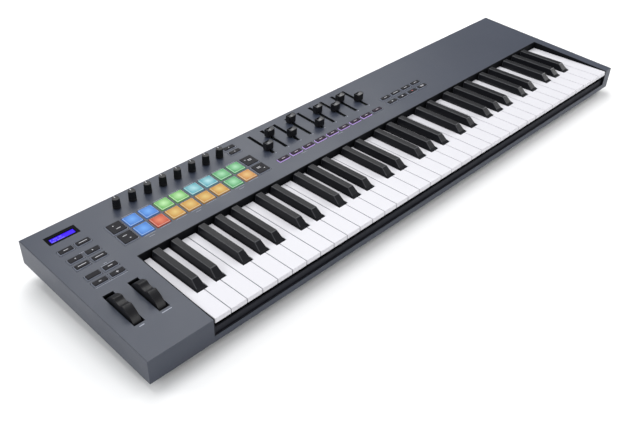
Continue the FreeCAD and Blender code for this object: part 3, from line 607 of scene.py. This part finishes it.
def make_black_keys(node):
    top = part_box(node)[1].z

    def visible(e):
        heights = [v.co.z for v in e.verts]
        return min(heights) > top - BLACK_SHOWN or max(heights) > top - 0.2 * MM

    # The rounded edges take the lighter edge grey as a painted highlight
    rounded_copy("keys_" + node, node, BLACK_EDGE_R, visible, BLACK_KEY, edge_highlight=BLACK_EDGE_HIGHLIGHT)


# Knobs, faders and wheels


def ring_fluted(x, y, radius, z, depth=0.0):
    """A closed ring of points: a circle with thirty shallow flutes in its edge."""
    points = []
    flutes = 30
    count = 4 * flutes
    for i in range(count):
        angle = 2 * math.pi * i / count
        r = radius - depth * (0.5 - 0.5 * math.cos(flutes * angle))
        points.append(Vector((x + r * math.cos(angle), y + r * math.sin(angle), z)))
    return points


def make_knob(i):
    """A tapered knob with fine grips, a plain collar, a rimmed top and a white pointer at its back."""
    node = "knob_%d" % i
    low, high = panel_box(node)
    x, y = (low.x + high.x) / 2, (low.y + high.y) / 2
    top, base_r = high.z, (high.x - low.x) / 2
    lift = KNOB_LIFT
    top_r = base_r - 0.5 * MM
    profile = [
        (base_r - 0.3 * MM, lift, 0.0),
        (base_r, lift + 0.3 * MM, 0.0),
        (base_r - 0.05 * MM, lift + 2.2 * MM, 0.0),
        (base_r - 0.15 * MM, lift + 2.6 * MM, 0.38 * MM),
        (top_r + 0.05 * MM, top - 1.5 * MM, 0.38 * MM),
        (top_r, top - 1.1 * MM, 0.0),
        (top_r - 0.1 * MM, top - 0.35 * MM, 0.0),
        (top_r - 0.45 * MM, top, 0.0),
        (top_r - 0.75 * MM, top, 0.0),
        (top_r - 1.0 * MM, top - 0.25 * MM, 0.0),
        (top_r - 3.0 * MM, top - 0.30 * MM, 0.0),
        (0.3 * MM, top - 0.32 * MM, 0.0),
    ]
    bm = bmesh.new()
    loft(bm, [ring_fluted(x, y, r, z, depth=d) for r, z, d in profile])
    shaft = [ring_fluted(x, y, KNOB_SHAFT_R, z) for z in (low.z, lift + 0.4 * MM)]
    loft(bm, shaft)
    rim_y, foot, crest = y + top_r, top - 0.6 * MM, top + 0.02 * MM
    block(bm, x, rim_y - 1.9 * MM, 0.95 * MM, 3.4 * MM, foot, crest, 0.3 * MM, 0.1 * MM, material=1)
    half, near, far = 0.45 * MM, rim_y - 0.5 * MM, rim_y + 0.06 * MM
    wall = [(x - half, near), (x + half, near), (x + half, far), (x - half, far)]
    prism(bm, wall, top - 3.4 * MM, top - 0.5 * MM, material=1)
    make_piece("knob_body_%d" % i, bm, node, [CONTROL_BLACK, MARK_WHITE], [node], PANEL)


def make_fader(i):
    """A cap with a saddle-shaped top, soft edges and shallow finger ribs on its front and back."""
    node = "fader_%d" % i
    low, high = panel_box(node)
    x, y = (low.x + high.x) / 2, (low.y + high.y) / 2
    w, l, top = high.x - low.x, high.y - low.y, high.z
    lift, corner, edge = FADER_LIFT, FADER_CORNER, FADER_EDGE

    def height(px, drop):
        across = min(1.0, abs(px - x) / (w / 2))
        return top - FADER_SCOOP * (1 - across * across) - drop

    rings = []
    for inset, z in ((0.5, lift), (0.1, lift + 0.4 * MM), (0.0, lift + 2.0 * MM), (0.0, lift + 6.0 * MM)):
        rings.append(ring_rect(x, y, w - 2 * inset * MM, l - 2 * inset * MM, corner, z, steps=8))
    for step in range(5):
        angle = math.radians(90.0 * step / 4)
        inset, drop = edge * (1 - math.cos(angle)), edge * (1 - math.sin(angle))
        ring = ring_rect(x, y, w - 2 * inset, l - 2 * inset, corner - inset, 0, steps=8)
        rings.append([Vector((p.x, p.y, height(p.x, drop))) for p in ring])
    bm = bmesh.new()
    loft(bm, rings, cap_high=False)
    add_saddle(bm, x, y, w - 2 * edge, l - 2 * edge, corner - edge, height, 2)
    bmesh.ops.remove_doubles(bm, verts=bm.verts, dist=1e-6)
    rib_w, rib_pitch, rib_foot = 0.5 * MM, 1.7 * MM, lift + 1.5 * MM
    for k in range(-2, 3):
        rib_x = x + k * rib_pitch
        rib_top = height(rib_x, 1.3 * MM)
        block(bm, rib_x, y, rib_w, l + 0.2 * MM, rib_foot, rib_top, 0.2 * MM, 0.1 * MM)
    block(bm, x, y, 1.2 * MM, 4.6 * MM, low.z, lift + 0.3 * MM, 0.2 * MM, 0.1 * MM, material=1)
    # The saddle's lighter satin grey is partly a painted highlight
    looks = [CONTROL_BLACK, STEEL, SADDLE_SATIN_HIGHLIGHT]
    make_piece("fader_cap_%d" % i, bm, node, looks, [node], PANEL, sharp=50.0)


def add_saddle(bm, x, y, w, l, corner, height, material):
    """The hollow top of a fader cap, made of strips that run from front to back."""
    ring = ring_rect(x, y, w, l, corner, 0, steps=8)
    front = sorted((p for p in ring if p.y < y), key=lambda p: p.x)
    back = sorted((p for p in ring if p.y > y), key=lambda p: p.x)
    strips = [(near.x, near.y, far.y) for near, far in zip(front, back)]
    middle = len(strips) // 2
    left, right = strips[middle - 1], strips[middle]
    shares = [k / 8 for k in range(1, 8)]
    fill = [(left[0] + (right[0] - left[0]) * k, left[1], left[2]) for k in shares]
    strips = strips[:middle] + fill + strips[middle:]
    rows = [[bm.verts.new((px, py, height(px, 0.0))) for py in (near, far)] for px, near, far in strips]
    for one, two in zip(rows, rows[1:]):
        bm.faces.new((one[0], two[0], two[1], one[1])).material_index = material


def wheel_outline(radius, inset):
    """The wheel's edge as (y, z) about its axle: an arc with a round finger notch, and a hub below."""
    notch_at = radius - NOTCH_DEPTH + NOTCH_R
    blend = NOTCH_BLEND
    reach, steps = 100.0, 160
    points = []
    for i in range(steps + 1):
        angle = math.radians(-reach + 2 * reach * i / steps)
        r = radius
        offset = notch_at * math.sin(angle)
        if abs(offset) < NOTCH_R and math.cos(angle) > 0:
            hollow = notch_at * math.cos(angle) - math.sqrt(NOTCH_R**2 - offset**2)
            r = -blend * math.log(math.exp(-radius / blend) + math.exp(-hollow / blend))
        r -= inset
        points.append((r * math.sin(angle), r * math.cos(angle)))
    hub = WHEEL_HUB_R - inset
    for angle in (150.0, 180.0, 210.0):
        turn = math.radians(angle)
        points.append((hub * math.sin(turn), hub * math.cos(turn)))
    return points


def make_wheel(node):
    """A part wheel with a soft-edged tread, a notch for the finger and its stub axle."""
    axle = TO_PANEL @ Vector(joint(node + "_turn")["pos_m"])
    low, high = panel_box(node)
    x = (low.x + high.x) / 2
    radius = high.y - axle.y
    edge = WHEEL_EDGE
    rings, sections = [], []
    for step in range(5):
        angle = math.radians(90.0 * step / 4)
        sections.append((-WHEEL_HALF_T + edge * (1 - math.cos(angle)), edge * (1 - math.sin(angle))))
    sections += [(-px, inset) for px, inset in reversed(sections)]
    for px, inset in sections:
        outline = wheel_outline(radius, inset)
        rings.append([Vector((x + px, axle.y + oy, axle.z + oz)) for oy, oz in outline])
    bm = bmesh.new()
    loft(bm, rings)
    turns = [2 * math.pi * i / 24 for i in range(24)]
    circle = [(WHEEL_AXLE_R * math.cos(t), WHEEL_AXLE_R * math.sin(t)) for t in turns]
    loft(bm, [[Vector((px, axle.y + cy, axle.z + cz)) for cy, cz in circle] for px in (low.x, high.x)])
    make_piece(node + "_body", bm, node, [CONTROL_BLACK], [node], PANEL, sharp=40.0)


# Buttons and pads


def mark_shapes(kind):
    """Outlines of a plain mark about its middle, in millimetres."""
    bars = {"bar": [(3.0, 0.0)], "wide": [(5.5, 0.0)], "loop": [(4.0, 0.9), (4.0, -0.9)]}
    if kind in bars:
        half = 0.42
        return [[(-w, y - half), (w, y - half), (w, y + half), (-w, y + half)] for w, y in bars[kind]]
    triangles = {"left": 180, "right": 0, "play": 0, "up": 90, "down": 270}
    if kind in triangles:
        size = 1.7 if kind == "play" else 1.25
        turns = [math.radians(triangles[kind] + a) for a in (0, 120, 240)]
        return [[(size * math.cos(t), size * math.sin(t)) for t in turns]]
    if kind == "square":
        return [[(-1.1, -1.1), (1.1, -1.1), (1.1, 1.1), (-1.1, 1.1)]]
    if kind == "circle":
        turns = [2 * math.pi * i / 20 for i in range(20)]
        return [[(1.35 * math.cos(t), 1.35 * math.sin(t)) for t in turns]]
    strokes = {"minus": [(1.6, 0.4)], "plus": [(1.6, 0.4), (0.4, 1.6)]}
    return [[(-w, -h), (w, -h), (w, h), (-w, h)] for w, h in strokes.get(kind, [])]


def add_mark(bm, kind, x, y, top, material):
    for shape in mark_shapes(kind):
        outline = [(x + px * MM, y + py * MM) for px, py in shape]
        prism(bm, outline, top - 0.1 * MM, top + PRINT_T, material)


def mat_sheet(bm, node, material):
    """The thin sheet under the panel that joins a mat's caps."""
    low, high = panel_box(node)
    x, y = (low.x + high.x) / 2, (low.y + high.y) / 2
    block(bm, x, y, high.x - low.x, high.y - low.y, low.z, low.z + SHEET_T, 1.5 * MM, 0.3 * MM, material)


def add_skirt(bm, node, x, y, w, l, material):
    """The translucent foot round a cap, which ends just above the panel."""
    low, _ = panel_box(node)
    grown_w, grown_l = w + 2 * SKIRT_MARGIN, l + 2 * SKIRT_MARGIN
    block(bm, x, y, grown_w, grown_l, low.z + SHEET_T / 2, SKIRT_TOP, 0.9 * MM, 0.25 * MM, material)


def alone(kinds):
    """One mark in the middle of each cap."""
    return [[(kind, 0.0, 0.0)] for kind in kinds]


def make_buttons(node, marks, materials, skirts):
    """Caps with rounded edges and plain marks, each on its own translucent skirt, joined by a sheet.

    Each cap's marks are (kind, right, back), with their place in millimetres from the cap's middle.
    """
    bm = bmesh.new()
    mat_sheet(bm, node, 1)
    for i, (x, y, w, l, top) in enumerate(cap_tops(node)):
        add_skirt(bm, node, x, y, w, l, skirts[i % len(skirts)])
        block(bm, x, y, w, l, SKIRT_TOP / 2, top, 0.7 * MM, 0.35 * MM)
        for kind, right, back in marks[i % len(marks)]:
            look = 3 if kind == "circle" else 2
            add_mark(bm, kind, x + right * MM, y + back * MM, top, look)
    make_piece(node + "_caps", bm, node, materials, [node], PANEL)


def make_all_buttons():
    plain = [BUTTON_BLACK, SKIRT_PALE, MARK_WHITE, RECORD_RED]
    lit = [BUTTON_PLUM, LILAC_RIM, MARK_GREY, RECORD_RED, SKIRT_PALE]
    make_buttons("menu_buttons", alone(MENU_MARKS), plain, [1])
    make_buttons("knob_page_buttons", alone(PAGE_MARKS), plain, [1])
    make_buttons("transport_buttons", alone(TRANSPORT_MARKS), plain, [1])
    make_buttons("fader_buttons", alone(["bar"]), lit, [1] * 8 + [4])
    up = [("up", -2.0, 4.0), ("bar", 1.5, -3.0)]
    down = [("bar", -1.5, 3.4), ("down", 2.0, -4.0)]
    make_buttons("pad_bank_buttons", [up, down], plain, [1])
    scene = [("right", -4.5, 3.0), ("bar", 1.5, 1.5), ("bar", 1.5, -0.8)]
    track = [("bar", -1.5, 2.8), ("bar", -1.5, 0.6), ("right", 4.5, -3.4)]
    make_buttons("scene_buttons", [scene, track], plain, [1])


def unwrap_top(mesh, x, y, w, l):
    """Maps a pad's plan to the unit square."""
    layer = mesh.uv_layers.new(name="UVMap")
    for loop in mesh.loops:
        p = TO_PANEL @ mesh.vertices[loop.vertex_index].co
        layer.data[loop.index].uv = ((p.x - x) / w + 0.5, (p.y - y) / l + 0.5)


def make_pads():
    """Sixteen lit pads, each a softly domed top on a pale side wall and a dimmer skirt."""
    looks = {}
    columns = len(PAD_COLOURS[0])
    for i, (x, y, w, l, top) in enumerate(cap_tops("pads")):
        edge, middle = colour = PAD_COLOURS[i // columns][i % columns]
        if colour not in looks:
            number = len(looks) + 1
            pale = tuple(c + (1.0 - c) * 0.25 for c in middle)
            wall = lit_rim("pad_wall_%d" % number, pale)
            skirt = lit_rim("pad_skirt_%d" % number, shade(edge, 0.7))
            looks[colour] = [pad_glow("pad_glow_%d" % number, edge, middle), wall, skirt]
        bm = bmesh.new()
        add_skirt(bm, "pads", x, y, w, l, 2)
        rings = []
        for inset, z in fillet(SKIRT_TOP / 2, top - 0.15 * MM, 0.5 * MM):
            rings.append(ring_rect(x, y, w - 2 * inset, l - 2 * inset, 1.2 * MM - inset / 2, z))
        loft(bm, rings, material=1, cap_high=False)
        crown = []
        for inset, rise in ((0.5, -0.15), (1.0, -0.06), (2.5, 0.0), (6.0, 0.03), (9.0, 0.04)):
            corner = max(1.0 - inset / 3, 0.15) * MM
            crown.append(ring_rect(x, y, w - 2 * inset * MM, l - 2 * inset * MM, corner, top + rise * MM))
        loft(bm, crown, cap_low=False)
        bmesh.ops.remove_doubles(bm, verts=bm.verts, dist=1e-6)
        name, replaced = "pad_%d" % (i + 1), ["pads"] if i == 0 else []
        pad = make_piece(name, bm, "pads", looks[colour], replaced, PANEL, sharp=60.0)
        unwrap_top(pad.data, x, y, w, l)
    bm = bmesh.new()
    mat_sheet(bm, "pads", 0)
    make_piece("pad_sheet", bm, "pads", [SKIRT_PALE], matrix=PANEL)


# Display


def make_display():
    """A glossy black window with a backlit character display set into it."""
    low, high = panel_box("display_window")
    x, y = (low.x + high.x) / 2, (low.y + high.y) / 2
    w, l = high.x - low.x, high.y - low.y
    lit_w, lit_l, lit_y = LIT_W, LIT_L, y + LIT_SHIFT
    bm = bmesh.new()
    outer_low = ring_rect(x, y, w, l, 0.6 * MM, low.z)
    outer_high = ring_rect(x, y, w, l, 0.6 * MM, high.z)
    inner_high = ring_rect(x, lit_y, lit_w, lit_l, 0.4 * MM, high.z)
    inner_low = ring_rect(x, lit_y, lit_w, lit_l, 0.4 * MM, low.z)
    loft(bm, [inner_low, outer_low, outer_high, inner_high, inner_low], cap_low=False, cap_high=False)
    bmesh.ops.remove_doubles(bm, verts=bm.verts, dist=1e-6)
    make_piece("display_frame", bm, CASE, [BEZEL], ["display_window"], PANEL)
    bm = bmesh.new()
    block(bm, x, lit_y, lit_w + MM, lit_l + MM, low.z - 0.5 * MM, low.z + 0.2 * MM, 0.4 * MM, 0.1 * MM)
    pitch = lit_w / 17
    for row, lengths in enumerate(((1, 0, 1, 1, 1, 0, 1, 1), (1, 1, 1, 0, 1, 1, 1, 1, 1))):
        for i, shown in enumerate(lengths):
            if shown:
                cx = x - lit_w / 2 + pitch * (i + 1)
                cy = lit_y + (2.0 - 4.0 * row) * MM
                outline = ring_rect(cx, cy, pitch * 0.62, 2.3 * MM, 0.2 * MM, 0)
                prism(bm, [(p.x, p.y) for p in outline], low.z + 0.15 * MM, low.z + 0.25 * MM, 1)
    make_piece("display_screen", bm, CASE, [DISPLAY, DISPLAY_TEXT], matrix=PANEL)


# Sockets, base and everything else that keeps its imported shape


NODE_LOOKS = {
    "bottom_case": BASE_GREY,
    "rubber_feet": RUBBER,
    "case_screws": STEEL,
    "key_chassis": INNER_BLACK,
    "pivot_rod": STEEL,
    "key_return_springs": STEEL,
    "key_contact_board": BOARD,
    "key_contact_rubbers": SILICONE,
    "control_board": BOARD,
    "fader_potentiometers": INNER_BLACK,
    "knob_potentiometers": INNER_BLACK,
    "pad_sensor_board": BOARD,
    "wheel_bracket": INNER_BLACK,
    "display_module": INNER_BLACK,
    "main_board": BOARD,
    "usb_socket": STEEL,
    "midi_socket": INNER_BLACK,
    "sustain_jack": INNER_BLACK,
}


def dress_nodes():
    for node, material in NODE_LOOKS.items():
        mesh = frame["nodes"][node].data
        mesh.materials.clear()
        mesh.materials.append(material)
    liner = frame["nodes"]["key_well_liner"].data
    liner.materials.clear()
    for material in (INNER_BLACK, SLIP_BLACK):
        liner.materials.append(material)
    slip_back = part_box("key_well_liner")[0].y + SLIP_REACH
    for face in liner.polygons:
        ahead, low_down = face.center.y < slip_back, face.center.z < CASE_LOW.z + SLIP_RISE
        face.material_index = 1 if ahead and low_down and abs(face.normal.x) < 0.5 else 0


# Floor, lights and camera


def make_floor():
    n = Nodes("floor_pale")
    tone = n.blend(n.ranged(n.noise(3.0, 2.0), 0.0, 1.0), (0.86, 0.86, 0.86), (0.88, 0.88, 0.88))
    n.link(tone, n.shader.inputs["Base Color"])
    n.shader.inputs["Roughness"].default_value = 0.9
    n.shader.inputs["Specular IOR Level"].default_value = 0.1
    size = 30.0
    mesh = bpy.data.meshes.new("floor")
    corners = [(-size, -size, 0), (size, -size, 0), (size, size, 0), (-size, size, 0)]
    mesh.from_pydata(corners, [], [(0, 1, 2, 3)])
    mesh.materials.append(n.material)
    floor = bpy.data.objects.new("floor", mesh)
    bpy.context.scene.collection.objects.link(floor)


def soft_light(name, place, target, size, power, tint=(1.0, 1.0, 1.0)):
    data = bpy.data.lights.new(name, "AREA")
    data.shape = "RECTANGLE"
    data.size, data.size_y = size
    data.energy = power
    data.color = tint
    light = bpy.data.objects.new(name, data)
    light.location = place
    light.rotation_mode = "QUATERNION"
    light.rotation_quaternion = (Vector(target) - Vector(place)).to_track_quat("-Z", "Y")
    bpy.context.scene.collection.objects.link(light)


def make_lights():
    world = bpy.data.worlds.new("studio")
    world.use_nodes = True
    background = world.node_tree.nodes["Background"]
    background.inputs["Color"].default_value = (0.98, 0.99, 1.0, 1.0)
    background.inputs["Strength"].default_value = 0.40
    bpy.context.scene.world = world
    soft_light("key_light", (0.80, 1.20, 1.50), (-0.15, 0.0, 0.05), (1.5, 0.9), 14.5)
    soft_light("top_light", (-0.15, 0.45, 2.4), (-0.1, 0.0, 0.05), (1.4, 1.0), 30.0)
    soft_light("right_light", (1.9, -0.5, 0.95), (0.0, -0.05, 0.05), (1.0, 0.8), 16.0)
    soft_light("front_light", (0.2, -2.0, 0.9), (0.0, -0.1, 0.05), (1.6, 0.8), 14.0)
    soft_light("left_light", (-2.2, 0.0, 0.9), (-0.2, 0.0, 0.05), (1.4, 1.0), 12.5, (0.92, 0.96, 1.0))
    soft_light("back_left_light", (-1.6, 1.3, 1.3), (-0.2, 0.0, 0.05), (0.9, 0.7), 9.0)


def make_camera():
    data = bpy.data.cameras.new("camera")
    data.sensor_width = 36.0
    data.lens = CAMERA_LENS
    data.clip_start, data.clip_end = 0.01, 100.0
    azimuth, elevation = math.radians(CAMERA_AZIMUTH), math.radians(CAMERA_ELEVATION)
    level = math.cos(elevation)
    ahead = Vector((math.sin(azimuth) * level, math.cos(azimuth) * level, -math.sin(elevation)))
    right = (CAMERA_RIGHT - ahead * CAMERA_RIGHT.dot(ahead)).normalized()
    up = right.cross(ahead)
    turn = Matrix((right, up, -ahead)).transposed().to_4x4()
    camera = bpy.data.objects.new("camera", data)
    camera.matrix_world = PANEL @ Matrix.Translation(CAMERA_AT) @ turn
    bpy.context.scene.collection.objects.link(camera)
    bpy.context.scene.camera = camera


make_camera()
make_floor()
make_lights()
bpy.context.scene.view_settings.view_transform = "Standard"
make_case()
make_panel_print()
make_slot_trims()
make_keys()
for number in range(1, 9):
    make_knob(number)
for number in range(1, 10):
    make_fader(number)
for wheel in ("pitch_wheel", "mod_wheel"):
    make_wheel(wheel)
make_all_buttons()
make_pads()
make_display()
dress_nodes()
